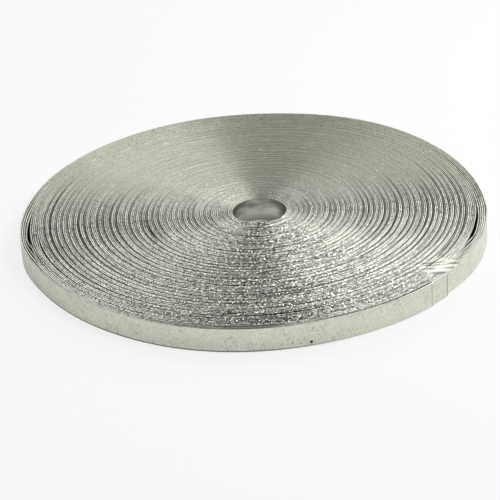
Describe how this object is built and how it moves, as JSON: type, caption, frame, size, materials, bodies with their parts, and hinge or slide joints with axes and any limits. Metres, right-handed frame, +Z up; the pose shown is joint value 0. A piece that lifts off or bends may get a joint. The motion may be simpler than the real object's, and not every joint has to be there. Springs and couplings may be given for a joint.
{
  "type": "magnesium ribbon coil",
  "caption": "Flat coil of thin silvery metal ribbon wound on itself around a small open bore, lying on one end, stock for cutting lengths from.",
  "frame": {"origin": "centre of the coil's bore, on the plane that the coil lies on", "axes": "+Z up along the bore's axis, -Y towards the front of the view in the picture, +X to its right"},
  "size_m": [0.0568, 0.0568, 0.0032],
  "materials": {
    "ribbon_metal": "satin bare magnesium, slightly dulled, with rough slit edges on the ends of the coil"
  },
  "bodies": {
    "root": {"ribbon_coil": "ribbon_metal"}
  },
  "joints": []
}
